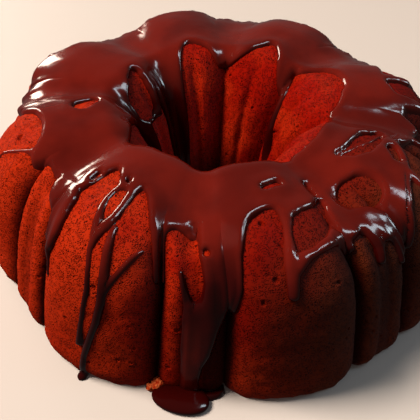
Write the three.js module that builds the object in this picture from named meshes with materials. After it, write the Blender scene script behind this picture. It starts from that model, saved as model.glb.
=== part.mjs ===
// A fluted ring cake, turned out of its tin and standing on its cut side.
// It is one solid: a ring with eight large rounded flutes, a pair of narrow ribs in
// each gap between two flutes, and a well that runs right through the middle.
// The frame: millimetres, +Z up, the foot on z = 0, the middle of a large flute on -Y.
import * as THREE from "three";

// Sizes of the plain ring, before the flutes are pressed into it.
const FOOT_REACH = 125; // from the axis to the front of a large flute
const CREST_HEIGHT = 75.2;
const CREST_RADIUS = 57.2; // where the ring is highest
const WELL_FOOT_RADIUS = 25.9;
const WALL_DRAFT = 7; // how far the outer wall leans in over its height
const SHOULDER_POWER = 4.4; // 2 is an ellipse, more is squarer
const WELL_POWER = 1.94;
const FOOT_TUCK = 2.5; // how far the foot rounds in
const FOOT_TUCK_HEIGHT = 10;

// Flutes: a pitch holds half a large flute on each side and two ribs between them.
const FLUTES = 8;
const FLUTE_EDGE = 2 / 3; // share of the half pitch that the large flute takes
const RIB_FRONT = 0.5; // depth of a rib's front, as a share of the groove
const RIB_CREASE = 0.62; // depth of the crease between the two ribs
const WELL_CREASE = 0.22; // depth of the shallow crease inside each well flute
const WELL_CREASE_WIDTH = 0.16;
// Groove depth at stations along the section: 0 outer foot, 1 crest, 2 foot of the well.
const GROOVE_DEPTH = [
  [0, 8.5],
  [0.4, 13],
  [0.6, 13],
  [1, 4.8],
  [1.15, 8],
  [1.6, 8],
  [2, 5.6],
];
const CREST_BLEND = [0.6, 0.81]; // where the outer flutes pass into the crest's waves
const WELL_BLEND = [1.04, 1.28]; // where the crest's waves pass into the well's flutes

// Unevenness of a baked cake. Each wave is its count round the ring, its size and its phase.
const WELL_SHIFT = [-4.2, 2.8]; // the crest and the well stand a little off the foot
const SHIFT_STATIONS = [0.4, 0.86];
const REACH_WAVES = [
  [2, 1, 1.8],
  [3, 0.7, -0.6],
  [5, 1.6, -0.3],
];
const HEIGHT_WAVES = [
  [1, 0.7, -1.3],
  [2, 0.7, -3],
];

// Mesh: each flute pitch takes 18 columns, so grooves and creases fall on a column.
const COLUMNS = FLUTES * 18;
const OUTER_ROWS = 16;
const WELL_ROWS = 14;

const { lerp, smoothstep } = THREE.MathUtils;
const HALF_PITCH = Math.PI / FLUTES;

// One side of the ring's section as a superellipse arc from the foot to the crest.
function sectionArc(footRadius, power, draft) {
  const width = footRadius - CREST_RADIUS - draft;
  return (angle) => {
    const height = CREST_HEIGHT * Math.sin(angle) ** (2 / power);
    const reach = width * Math.max(Math.cos(angle), 0) ** (2 / power);
    const lean = draft * (1 - height / CREST_HEIGHT);
    return new THREE.Vector2(CREST_RADIUS + reach + lean, height);
  };
}

// Points spaced evenly by length along an arc, each with its unit normal.
function evenPoints(arc, count) {
  const fineSteps = 4000;
  const fine = [];
  const length = [0];
  for (let i = 0; i <= fineSteps; i++) {
    fine.push(arc(((i / fineSteps) * Math.PI) / 2));
    if (i > 0) length.push(length[i - 1] + fine[i].distanceTo(fine[i - 1]));
  }
  const total = length[fineSteps];
  const points = [];
  let i = 1;
  for (let n = 0; n <= count; n++) {
    const wanted = (total * n) / count;
    while (i < fineSteps && length[i] < wanted) i++;
    const part = (wanted - length[i - 1]) / (length[i] - length[i - 1]);
    const along = fine[i].clone().sub(fine[i - 1]).normalize();
    points.push({
      place: fine[i - 1].clone().lerp(fine[i], part),
      normal: new THREE.Vector2(along.y, -along.x),
    });
  }
  return points;
}

// The whole section: up the outer wall, over the crest, down into the well.
function ringSection() {
  const outer = evenPoints(sectionArc(FOOT_REACH, SHOULDER_POWER, WALL_DRAFT), OUTER_ROWS);
  const well = evenPoints(sectionArc(WELL_FOOT_RADIUS, WELL_POWER, 0), WELL_ROWS);
  outer.forEach((point, row) => {
    point.station = row / OUTER_ROWS;
    const tuck = Math.max(0, 1 - point.place.y / FOOT_TUCK_HEIGHT);
    point.place.x -= FOOT_TUCK * tuck ** 2;
  });
  well.forEach((point, row) => {
    point.station = 2 - row / WELL_ROWS;
    point.normal.negate();
  });
  // The crest belongs to both arcs, so the well's own copy is left out.
  return [...outer, ...well.reverse().slice(1)];
}

// How deep the surface lies below the plain ring, 0 on a flute's front and 1 in a groove.
// Across is 0 in the middle of a large flute and 1 in the middle of a gap.
function outerFlute(across) {
  if (across < FLUTE_EDGE) return 1 - Math.sqrt(1 - (across / FLUTE_EDGE) ** 3);
  const side = (2 * (across - FLUTE_EDGE)) / (1 - FLUTE_EDGE) - 1;
  const rib = 1 - (1 - RIB_FRONT) * Math.sqrt(Math.max(0, 1 - side ** 2));
  return side > 0 ? Math.min(rib, RIB_CREASE) : rib;
}

function crestWave(across) {
  return across ** 2.6;
}

function wellFlute(across) {
  const crease = WELL_CREASE * Math.exp(-((across / WELL_CREASE_WIDTH) ** 2));
  return Math.max(across ** 3.2, crease);
}

function fluteDepth(across, station) {
  const well = smoothstep(station, ...WELL_BLEND);
  const outer = 1 - smoothstep(station, ...CREST_BLEND);
  const crest = 1 - well - outer;
  const next = Math.max(1, GROOVE_DEPTH.findIndex(([s]) => s >= station));
  const [[s0, d0], [s1, d1]] = [GROOVE_DEPTH[next - 1], GROOVE_DEPTH[next]];
  const groove = lerp(d0, d1, (station - s0) / (s1 - s0));
  const shape =
    outer * outerFlute(across) + crest * crestWave(across) + well * wellFlute(across);
  return groove * shape;
}

// Slow waves round the ring keep two flutes from being quite alike.
function sumOfWaves(waves, azimuth) {
  return waves.reduce(
    (sum, [count, size, phase]) => sum + size * Math.sin(count * azimuth + phase),
    0,
  );
}

// A point of the finished surface. Azimuth turns from -Y towards +X.
function surfacePoint({ place, normal, station }, azimuth) {
  const pitches = azimuth / (2 * HALF_PITCH);
  const across = 2 * Math.abs(pitches - Math.round(pitches));
  const depth = fluteDepth(Math.min(across, 1), station);
  const onFoot = smoothstep(place.y, 0, FOOT_TUCK_HEIGHT);
  const outside = 1 - smoothstep(station, ...CREST_BLEND);
  const radius = place.x - normal.x * depth + outside * sumOfWaves(REACH_WAVES, azimuth);
  const rise = (place.y / CREST_HEIGHT) * sumOfWaves(HEIGHT_WAVES, azimuth);
  const height = place.y - normal.y * depth * onFoot + rise;
  const shift = smoothstep(station, ...SHIFT_STATIONS);
  return new THREE.Vector3(
    radius * Math.sin(azimuth) + shift * WELL_SHIFT[0],
    -radius * Math.cos(azimuth) + shift * WELL_SHIFT[1],
    height,
  );
}

// A lathe ring gives the closed grid of rows and columns, and each of its points is
// then moved out to the fluted surface.
function cakeGeometry() {
  const section = ringSection();
  const closed = [...section, section[0]];
  const outline = closed.map(({ place }) => place);
  const geometry = new THREE.LatheGeometry(outline, COLUMNS);
  const position = geometry.getAttribute("position");
  for (let column = 0; column <= COLUMNS; column++) {
    const azimuth = ((column % COLUMNS) / COLUMNS) * 2 * Math.PI;
    closed.forEach((point, row) => {
      const { x, y, z } = surfacePoint(point, azimuth);
      position.setXYZ(column * closed.length + row, x, y, z);
    });
  }
  geometry.computeBoundingBox();
  const { min, max } = geometry.boundingBox;
  geometry.translate(-(min.x + max.x) / 2, -(min.y + max.y) / 2, 0);
  geometry.computeVertexNormals();
  return geometry;
}

const crumb = new THREE.MeshStandardMaterial({
  color: 0x6b2412,
  roughness: 0.9,
  metalness: 0,
});

const cake = new THREE.Mesh(cakeGeometry(), crumb);
cake.name = "cake";

const group = new THREE.Group();
group.name = "fluted_ring_cake";
group.add(cake);

export default group;
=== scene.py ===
# %% [markdown]
# A fluted ring cake with a chocolate glaze.
# The cake was baked in a fluted ring tin, turned out, and glazed while it stood on a table.
# Two things make its looks: a dry, open crumb, and a thick glossy glaze that ran down
# from the crest in sheets, fingers and threads. Both follow the same fluted skin, so this
# lesson first writes that skin as one function and then lays both pieces on it.

import math
import random

import bmesh
import bpy
import numpy as np
from mathutils import Matrix, Vector, noise


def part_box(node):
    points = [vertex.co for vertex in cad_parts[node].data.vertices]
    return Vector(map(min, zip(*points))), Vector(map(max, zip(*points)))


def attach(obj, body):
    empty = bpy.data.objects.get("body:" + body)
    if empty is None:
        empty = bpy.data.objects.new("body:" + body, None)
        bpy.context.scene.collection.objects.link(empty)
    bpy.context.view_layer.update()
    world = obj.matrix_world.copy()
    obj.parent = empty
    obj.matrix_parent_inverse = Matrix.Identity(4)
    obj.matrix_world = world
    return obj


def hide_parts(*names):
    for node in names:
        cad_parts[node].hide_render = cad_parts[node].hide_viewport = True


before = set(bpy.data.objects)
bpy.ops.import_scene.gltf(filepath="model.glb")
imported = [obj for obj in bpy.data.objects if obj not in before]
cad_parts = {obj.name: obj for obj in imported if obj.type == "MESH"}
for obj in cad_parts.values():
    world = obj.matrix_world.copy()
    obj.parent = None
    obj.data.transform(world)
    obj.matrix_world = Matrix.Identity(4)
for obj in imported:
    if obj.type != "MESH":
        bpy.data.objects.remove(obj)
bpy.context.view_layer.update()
cake_low, cake_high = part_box("cake")
MM = 0.001
print("cake box in mm:", [round(v / MM, 1) for v in (*cake_low, *cake_high)])

# %% [markdown]
# The camera stands in front of the cake, a little to its left, and looks down into the
# well. It is close to the cake, so near flutes look larger than far ones. The camera is
# made from a place and an aim, and then rolled by a small angle as a held camera is.

# %% Camera
VIEW_AZIMUTH = math.radians(-18.26)
VIEW_ELEVATION = math.radians(42.11)
VIEW_DISTANCE = 0.3996
VIEW_ROLL = math.radians(2.54)
AIM_ASIDE = -0.0059
AIM_HEIGHT = 0.0024
LENS = 60.2
SENSOR = 36.0


def add_camera():
    data = bpy.data.cameras.new("camera")
    data.sensor_width = SENSOR
    data.lens = LENS
    flat = VIEW_DISTANCE * math.cos(VIEW_ELEVATION)
    eye = Vector((flat * math.sin(VIEW_AZIMUTH), -flat * math.cos(VIEW_AZIMUTH),
                  VIEW_DISTANCE * math.sin(VIEW_ELEVATION)))
    aside = Vector((math.cos(VIEW_AZIMUTH), math.sin(VIEW_AZIMUTH), 0))
    aim = aside * AIM_ASIDE + Vector((0, 0, AIM_HEIGHT))
    forward = (aim - eye).normalized()
    level = forward.cross(Vector((0, 0, 1))).normalized()
    upright = level.cross(forward)
    right = level * math.cos(VIEW_ROLL) + upright * math.sin(VIEW_ROLL)
    up = upright * math.cos(VIEW_ROLL) - level * math.sin(VIEW_ROLL)
    camera = bpy.data.objects.new("camera", data)
    camera.matrix_world = Matrix((right, up, -forward)).transposed().to_4x4()
    camera.matrix_world.translation = eye
    bpy.context.collection.objects.link(camera)
    bpy.context.scene.camera = camera
    return camera


camera = add_camera()
print("camera at", [round(v, 3) for v in camera.matrix_world.translation])

# %% [markdown]
# A square warm window high on the left does nearly all the lighting, and a dim world fills the
# rest. The window is hidden from glossy rays, so it draws no highlight of its own. Three cards,
# a warm one behind the left side and two cool ones on the right, do the opposite: they are
# hidden from diffuse rays and from view, so they light no crumb and only draw pale streaks on
# the glaze. The floor is hidden from diffuse and glossy rays: it takes the cake's shadow, but
# throws no pale light back up dark walls. The Standard view keeps dark reds deep.

# %% Floor and lights
FLOOR_SIZE = 6.0
FLOOR_DROP = 0.0002
FLOOR_COLOUR = (0.51, 0.47, 0.45, 1)
WORLD_COLOUR = (1.0, 0.93, 0.88, 1)
WORLD_STRENGTH = 0.165
LIT_PLACE = Vector((0, 0, 0.04))
WINDOW = ("warm_window", -110, 51, 2.5, 0.95, 0.95, 134, (1.0, 0.86, 0.72))
CARD_DISTANCE = 2.4
CARDS = (("warm_card", -162, 12, 0.60, 0.75, 42, (1.0, 0.82, 0.68)),
         ("cool_card", 78, 54, 0.50, 1.10, 62, (0.72, 0.90, 1.0)),
         ("low_cool_card", 90, 24, 0.50, 0.50, 24, (0.72, 0.90, 1.0)))


def add_window(name, azimuth, elevation, distance, width, height, watts, colour):
    """A rectangle of light that faces the cake, placed by its direction from the cake."""
    turn = math.radians(azimuth)
    rise = math.radians(elevation)
    away = Vector((math.cos(rise) * math.sin(turn), -math.cos(rise) * math.cos(turn),
                   math.sin(rise)))
    data = bpy.data.lights.new(name, "AREA")
    data.shape = "RECTANGLE"
    data.size = width
    data.size_y = height
    data.energy = watts
    data.color = colour
    lamp = bpy.data.objects.new(name, data)
    lamp.location = LIT_PLACE + away * distance
    lamp.rotation_euler = away.to_track_quat("Z", "Y").to_euler()
    bpy.context.collection.objects.link(lamp)
    return lamp


def add_floor():
    bm = bmesh.new()
    bmesh.ops.create_grid(bm, x_segments=1, y_segments=1, size=FLOOR_SIZE)
    bmesh.ops.translate(bm, verts=bm.verts, vec=(0, 0, -FLOOR_DROP))
    mesh = bpy.data.meshes.new("floor")
    bm.to_mesh(mesh)
    bm.free()
    floor = bpy.data.objects.new("floor", mesh)
    bpy.context.collection.objects.link(floor)
    return floor


floor = add_floor()
floor.visible_diffuse = False
floor.visible_glossy = False
window = add_window(*WINDOW)
window.visible_glossy = False
for name, azimuth, elevation, width, height, watts, colour in CARDS:
    card = add_window(name, azimuth, elevation, CARD_DISTANCE, width, height, watts, colour)
    card.visible_diffuse = False
    card.visible_camera = False

world = bpy.data.worlds.new("pale_room")
world.use_nodes = True
world.node_tree.nodes["Background"].inputs["Color"].default_value = WORLD_COLOUR
world.node_tree.nodes["Background"].inputs["Strength"].default_value = WORLD_STRENGTH
bpy.context.scene.world = world
bpy.context.scene.view_settings.view_transform = "Standard"

# %% [markdown]
# Now the skin. A point on the cake has two coordinates: how far round the cake it lies, and
# how far it lies from the crest along the section. The second is called run here: 0 on the
# crest, growing down the outer wall and falling below 0 down the well. The section is made of
# two superellipse arcs, and tables along them give the radius, the height and the normal.

# %% The plain section
FOOT_REACH = 125.0
CREST_HEIGHT = 75.2
CREST_RADIUS = 57.2
WELL_FOOT_RADIUS = 25.9
WALL_DRAFT = 7.0
SHOULDER_POWER = 4.4
WELL_POWER = 1.94
FOOT_TUCK = 2.5
FOOT_TUCK_HEIGHT = 10.0
TABLE_STEPS = 4000


def smoothstep(x, low, high):
    t = np.clip((x - low) / (high - low), 0, 1)
    return t * t * (3 - 2 * t)


def section_arc(foot_radius, power, draft):
    """Radius, height and length along one arc from the foot up to the crest."""
    turn = np.linspace(0, np.pi / 2, TABLE_STEPS)
    height = CREST_HEIGHT * np.sin(turn) ** (2 / power)
    width = foot_radius - CREST_RADIUS - draft
    lean = draft * (1 - height / CREST_HEIGHT)
    radius = CREST_RADIUS + width * np.clip(np.cos(turn), 0, 1) ** (2 / power) + lean
    steps = np.hypot(np.diff(radius), np.diff(height))
    length = np.concatenate(([0], np.cumsum(steps)))
    return radius, height, length


def section_table():
    """The whole section from the foot of the well to the outer foot, by run."""
    wall_r, wall_z, wall_length = section_arc(FOOT_REACH, SHOULDER_POWER, WALL_DRAFT)
    well_r, well_z, well_length = section_arc(WELL_FOOT_RADIUS, WELL_POWER, 0)
    run = np.concatenate((well_length - well_length[-1],
                          (wall_length[-1] - wall_length)[::-1][1:]))
    radius = np.concatenate((well_r, wall_r[::-1][1:]))
    height = np.concatenate((well_z, wall_z[::-1][1:]))
    spaced = run + np.arange(len(run)) * 1e-9
    across = np.gradient(radius, spaced)
    rise = np.gradient(height, spaced)
    size = np.hypot(across, rise)
    tuck = np.clip(1 - height / FOOT_TUCK_HEIGHT, 0, 1) ** 2 * (run > 0)
    return {"run": run, "radius": radius - FOOT_TUCK * tuck, "height": height,
            "out": -rise / size, "up": across / size}


section = section_table()
WALL_RUN = section["run"][-1]
WELL_RUN = -section["run"][0]
print("section in mm: wall", round(WALL_RUN, 1), "well", round(WELL_RUN, 1))

# %% [markdown]
# The tin presses flutes into that section: eight large round ones, a pair of narrow ribs in
# each gap, and softer waves on the crest and in the well. The depth below the plain section
# is one function, 0 on the front of a large flute and 1 in a groove. It has the form of the
# plain solid in the frame, except that the grooves on the wall are up to 3 mm deeper, so that
# they look dark and narrow. The ribs take a smaller share of that depth, which keeps their
# fronts within about a millimetre of the solid's.
#
# One more function says where a groove is deep, for the painted shade in the grooves of the
# crumb and the glaze. It adds one strip of painted shade, beside the broad stream of glaze.

# %% Flutes
FLUTES = 8
HALF_PITCH = math.pi / FLUTES
FLUTE_EDGE = 2 / 3
FLUTE_POWER = 3
CREST_WAVE_POWER = 2.6
WELL_FLUTE_POWER = 3.2
RIB_FRONT = 0.42
RIB_CREASE = 0.53
WELL_CREASE = 0.22
WELL_CREASE_WIDTH = 0.16
GROOVE_STATIONS = (0, 0.38, 0.56, 0.72, 1, 1.15, 1.6, 2)
GROOVE_DEPTHS = (10.0, 16, 16, 10.5, 4.8, 8, 8, 5.6)
CREST_BLEND = (0.6, 0.81)
WELL_BLEND = (1.04, 1.28)
GROOVE_TOP = (0.50, 0.72)
FLUTE_SHADE = (0.24, 0.72)
RIB_SHADE = (0.44, 0.64)
# A strip of painted shade on the crumb beside the broad stream: its middle and half width round the
# cake, then the runs where it fades in.
SHADE_STRIP = (math.radians(-17.0), math.radians(4.2))
SHADE_STRIP_RUNS = (52, 64)
WELL_SHIFT = (-4.2, 2.8)
SHIFT_STATIONS = (0.4, 0.86)
REACH_WAVES = ((2, 1.0, 1.8), (3, 0.7, -0.6), (5, 1.6, -0.3))
HEIGHT_WAVES = ((1, 0.7, -1.3), (2, 0.7, -3.0))


def station(run):
    """0 at the outer foot, 1 on the crest, 2 at the foot of the well."""
    return np.where(run > 0, 1 - run / WALL_RUN, 1 - run / WELL_RUN)


def outer_flute(across):
    lobe = 1 - np.sqrt(np.clip(1 - (across / FLUTE_EDGE) ** FLUTE_POWER, 0, 1))
    side = 2 * (across - FLUTE_EDGE) / (1 - FLUTE_EDGE) - 1
    rib = 1 - (1 - RIB_FRONT) * np.sqrt(np.clip(1 - side ** 2, 0, 1))
    rib = np.where(side > 0, np.minimum(rib, RIB_CREASE), rib)
    return np.where(across < FLUTE_EDGE, lobe, rib)


def across_flute(azimuth):
    """0 in the middle of a large flute, 1 midway between two of them."""
    pitches = azimuth / (2 * HALF_PITCH)
    return np.clip(2 * np.abs(pitches - np.round(pitches)), 0, 1)


def groove_shade(azimuth, run):
    """1 deep in a groove on the wall and in a strip of painted shade, 0 on the fronts, the crest and
    in the well.
    """
    on_wall = 1 - smoothstep(station(run), *GROOVE_TOP)
    across = across_flute(azimuth)
    depth = outer_flute(across)
    on_flute = smoothstep(depth, *FLUTE_SHADE)
    on_rib = smoothstep(depth, *RIB_SHADE)
    share = np.where(across < FLUTE_EDGE, on_flute, on_rib)
    # painted shade in a strip beside the broad stream, low on the wall
    away = np.abs(azimuth - SHADE_STRIP[0]) / SHADE_STRIP[1]
    shade_strip = smoothstep(1 - away, 0, 0.4) * smoothstep(run, *SHADE_STRIP_RUNS)
    return on_wall * np.maximum(share, shade_strip)


def flute_depth(azimuth, run):
    place = station(run)
    across = across_flute(azimuth)
    well = smoothstep(place, *WELL_BLEND)
    outer = 1 - smoothstep(place, *CREST_BLEND)
    crease = WELL_CREASE * np.exp(-(across / WELL_CREASE_WIDTH) ** 2)
    shape = (outer * outer_flute(across)
             + (1 - well - outer) * across ** CREST_WAVE_POWER
             + well * np.maximum(across ** WELL_FLUTE_POWER, crease))
    return np.interp(place, GROOVE_STATIONS, GROOVE_DEPTHS) * shape


def sum_of_waves(waves, azimuth):
    return sum(size * np.sin(count * azimuth + phase) for count, size, phase in waves)


def skin(azimuth, run, lift=0.0):
    """Points in mm, lifted by lift off the fluted surface, before the frame's centre is met."""
    radius = np.interp(run, section["run"], section["radius"])
    height = np.interp(run, section["run"], section["height"])
    out = np.interp(run, section["run"], section["out"])
    up = np.interp(run, section["run"], section["up"])
    place = station(run)
    depth = flute_depth(azimuth, run)
    outside = 1 - smoothstep(place, *CREST_BLEND)
    on_foot = smoothstep(height, 0, FOOT_TUCK_HEIGHT)
    reach = radius - out * (depth - lift) + outside * sum_of_waves(REACH_WAVES, azimuth)
    rise = height / CREST_HEIGHT * sum_of_waves(HEIGHT_WAVES, azimuth)
    z = height - up * depth * on_foot + up * lift + rise
    shift = smoothstep(place, *SHIFT_STATIONS)
    x = reach * np.sin(azimuth) + shift * WELL_SHIFT[0]
    y = -reach * np.cos(azimuth) + shift * WELL_SHIFT[1]
    return np.stack((x, y, z), -1)


def frame_shift():
    """What moves the skin's middle onto the middle of the cake's box in the frame."""
    azimuth, run = np.meshgrid(np.radians(np.arange(0, 360, 0.5)),
                               np.linspace(-WELL_RUN, WALL_RUN, 200))
    points = skin(azimuth, run).reshape(-1, 3)
    middle = (points.max(0) + points.min(0)) / 2
    wanted = (np.array(cake_low) + np.array(cake_high)) / 2 / MM
    print("skin size in mm:", np.round(points.max(0) - points.min(0), 1))
    return np.array((wanted[0] - middle[0], wanted[1] - middle[1], 0))


SHIFT = frame_shift()
print("shift onto the frame in mm:", np.round(SHIFT, 2))

# %% [markdown]
# Both pieces start as the same flat sheet. A line of vertices is spun round into a disc, in
# which the distance from the middle stands for the run and the direction for the way round
# the cake. Cutting the sheet finer is easy while it is flat. It is wrapped onto the skin only
# at the end. Its columns are spaced evenly along the wavy outline of the flutes, so that the
# steep sides of a groove get faces of their own.

# %% The flat sheet
SHEET_HUB = 200.0
OUTLINE_RUN = 75.0


def outline_spacing():
    """Shares of a pitch that lie evenly along the outline of the flutes."""
    share = np.linspace(0, 1, 4001)
    points = skin((share - 0.5) * 2 * HALF_PITCH, np.full(share.shape, OUTLINE_RUN))
    steps = np.linalg.norm(np.diff(points, axis=0), axis=1)
    length = np.concatenate(([0], np.cumsum(steps)))
    return share, length / length[-1]


OUTLINE_SHARE, OUTLINE_LENGTH = outline_spacing()
print("steps along the outline of a pitch:", len(OUTLINE_SHARE) - 1)


def spin_sheet(runs, columns):
    bm = bmesh.new()
    line = [bm.verts.new((SHEET_HUB + run, 0, 0)) for run in runs]
    edges = [bm.edges.new(pair) for pair in zip(line, line[1:])]
    bmesh.ops.spin(bm, geom=line + edges, cent=(0, 0, 0), axis=(0, 0, 1),
                   angle=2 * math.pi, steps=columns, use_merge=True)
    return bm


def read_sheet(bm):
    """Azimuth in radians and run in mm of every vertex of a flat sheet."""
    flat = np.array([vert.co[:] for vert in bm.verts])
    turn = np.arctan2(flat[:, 0], -flat[:, 1]) / (2 * HALF_PITCH) + 0.5
    whole = np.floor(turn)
    share = np.interp(turn - whole, OUTLINE_LENGTH, OUTLINE_SHARE)
    azimuth = (whole + share - 0.5) * 2 * HALF_PITCH
    return azimuth, np.hypot(flat[:, 0], flat[:, 1]) - SHEET_HUB


def place_points(bm, points):
    """Moves every vertex to its point, given in mm before the shift onto the frame."""
    for vert, point in zip(bm.verts, ((points + SHIFT) * MM).tolist()):
        vert.co = point


def mark_share(bm, name, share):
    """Stores a number from 0 to 1 on each vertex, for a material to read."""
    layer = bm.verts.layers.float.new(name)
    for vert, value in zip(bm.verts, share.tolist()):
        vert[layer] = value


def finish_piece(name, bm, material):
    bmesh.ops.recalc_face_normals(bm, faces=bm.faces)
    for face in bm.faces:
        face.smooth = True
    mesh = bpy.data.meshes.new(name)
    bm.to_mesh(mesh)
    bm.free()
    mesh.materials.append(material)
    piece = bpy.data.objects.new(name, mesh)
    bpy.context.collection.objects.link(piece)
    triangles = sum(len(face.vertices) - 2 for face in mesh.polygons)
    print(name, "triangles:", triangles)
    return piece


SEED_SHIFT = 17.3


def wave_noise(points, size, seed):
    """Smooth noise from -1 to 1 at points in mm, with bumps about size mm wide."""
    scaled = points / size + seed * SEED_SHIFT
    return np.array([noise.noise(place) for place in scaled.tolist()])


# %% [markdown]
# Shader maths is easier to read as expressions. This small class wraps a node's socket, so
# that a * b or 1 - mask adds the Math node it stands for. Any other node comes from one
# method of the material's builder.

# %% Material helpers
class Sock:
    """A socket that can be used in an expression."""

    def __init__(self, tree, socket):
        self.tree = tree
        self.socket = socket

    def math(self, operation, other=None, swap=False, clamp=False):
        node = self.tree.nodes.new("ShaderNodeMath")
        node.operation = operation
        node.use_clamp = clamp
        pair = (other, self) if swap else (self, other)
        for slot, value in zip(node.inputs, pair):
            if isinstance(value, Sock):
                self.tree.links.new(value.socket, slot)
            elif value is not None:
                slot.default_value = value
        return Sock(self.tree, node.outputs[0])

    def __add__(self, other):
        return self.math("ADD", other)

    def __sub__(self, other):
        return self.math("SUBTRACT", other)

    def __rsub__(self, other):
        return self.math("SUBTRACT", other, swap=True)

    def __mul__(self, other):
        return self.math("MULTIPLY", other)

    __radd__ = __add__
    __rmul__ = __mul__

    def clamped(self):
        return self.math("ADD", 0.0, clamp=True)

    def above(self, low, high):
        """0 below low, 1 above high, smooth between."""
        node = self.tree.nodes.new("ShaderNodeMapRange")
        node.interpolation_type = "SMOOTHSTEP"
        self.tree.links.new(self.socket, node.inputs["Value"])
        node.inputs["From Min"].default_value = low
        node.inputs["From Max"].default_value = high
        return Sock(self.tree, node.outputs["Result"])


class Finish:
    """Builds one material around its Principled shader."""

    def __init__(self, name):
        self.material = bpy.data.materials.new(name)
        self.material.use_nodes = True
        self.tree = self.material.node_tree
        self.shader = self.tree.nodes["Principled BSDF"]
        self.place = self.node("ShaderNodeTexCoord").outputs["Object"]

    def node(self, kind, settings=None, **sockets):
        node = self.tree.nodes.new(kind)
        for key, value in (settings or {}).items():
            setattr(node, key, value)
        for key, value in sockets.items():
            self.feed(node.inputs[key.replace("_", " ")], value)
        return node

    def feed(self, slot, value):
        if isinstance(value, Sock):
            value = value.socket
        if isinstance(value, bpy.types.NodeSocket):
            self.tree.links.new(value, slot)
        else:
            slot.default_value = value

    def noise(self, per_metre, detail=2.0, roughness=0.5):
        node = self.node("ShaderNodeTexNoise", Vector=self.place, Scale=per_metre,
                         Detail=detail, Roughness=roughness)
        return Sock(self.tree, node.outputs["Fac"])

    def cells(self, per_metre):
        node = self.node("ShaderNodeTexVoronoi", Vector=self.place, Scale=per_metre)
        return Sock(self.tree, node.outputs["Distance"])

    def mix(self, factor, first, second):
        """A Mix node has one A, B and Result for each kind of data, so the colour's are picked."""
        node = self.node("ShaderNodeMix", {"data_type": "RGBA"})
        self.feed(node.inputs["Factor"], factor)
        colour_slots = [slot for slot in node.inputs if slot.type == "RGBA"]
        self.feed(colour_slots[0], first)
        self.feed(colour_slots[1], second)
        return [slot for slot in node.outputs if slot.type == "RGBA"][0]

    def share(self, name):
        """A number that the piece's own vertices carry."""
        node = self.node("ShaderNodeAttribute", {"attribute_name": name})
        return Sock(self.tree, node.outputs["Fac"])

    def distance_from_axis(self, axes):
        across = Sock(self.tree, axes["X"])
        along = Sock(self.tree, axes["Y"])
        return (across * across + along * along).math("SQRT")

    def bump(self, height, distance, strength=1.0):
        node = self.node("ShaderNodeBump", Height=height, Distance=distance, Strength=strength)
        return node.outputs["Normal"]

    def set(self, **sockets):
        for key, value in sockets.items():
            self.feed(self.shader.inputs[key.replace("_", " ")], value)


# %% [markdown]
# The crumb is a dry cake surface: deep red brown, matt, peppered with small dark pores. Round
# cells of two sizes darken the colour and press the bump down together, so each dark spot is
# also a small hole, and a coarse noise decides where the crumb is more open.
#
# The crumb isn't one colour all round. Masks on the cake's own coordinates paint light and shade
# into it. Towards the front right it gets painted shade, browner, and deeper high up, but painted
# light low down. It gets painted light on the left and on one side of the well, and painted shade,
# nearly black, in the grooves, by the number their vertices carry, and at the bottom of the well.
# This stays when the lamps change. For even crumb, the five shares listed after LIGHT_PATCHES
# can be set to 0.

# %% Crumb finish
# The first colour is both the lighter tone of random patches and painted light, the second is plain
# crumb, the next three are painted shade, painted light and painted shade, and the last is both the
# pores' colour and painted shade.
CRUMB_LIGHT = (0.320, 0.0175, 0.0032, 1)
CRUMB_MID = (0.205, 0.0036, 0.0008, 1)
CRUMB_SHADE_FRONT = (0.108, 0.0024, 0.0008, 1)
CRUMB_LIT_WELL = (0.480, 0.0190, 0.0030, 1)
CRUMB_SHADE_BROWN = (0.066, 0.0165, 0.0052, 1)
CRUMB_PORES_AND_SHADE = (0.020, 0.0010, 0.0004, 1)
# Where the masks of painted light and shade lie, then the sizes of the crumb's own grain and pores.
SHADED_SIDE = math.radians(42)
SHADE_BROWN_REACH = (0.070, 0.118)
SHADE_WANDER = 0.02
SHADE_FRONT_REACH = (0.036, 0.068)
HIGH_REACH = (0.006, 0.042)
WELL_REACH = (0.040, 0.062)
WELL_SHADE_REACH = (0.004, 0.036)
WELL_LIT_FROM = 0.015
LIT_LEFT_REACH = (0.045, 0.085)
GRAIN_PER_METRE = 1700
PORES_PER_METRE = 620
# How strong each mask is: the patches, grain and pores are the crumb's own; the other shares are
# painted light and shade.
LIGHT_PATCHES = 0.6
PAINTED_LIGHT_LEFT = 0.8
PAINTED_LIGHT_LOW_FRONT = 0.8
PAINTED_SHADE_FRONT = 0.9
PAINTED_LIGHT_WELL_SIDE = 0.8
PAINTED_SHADE_RIGHT = 0.85
PAINTED_SHADE_GROOVES = 0.9
PAINTED_SHADE_WELL = 0.85
DARK_GRAIN = 0.72
DARK_PORES = 0.85


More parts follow.
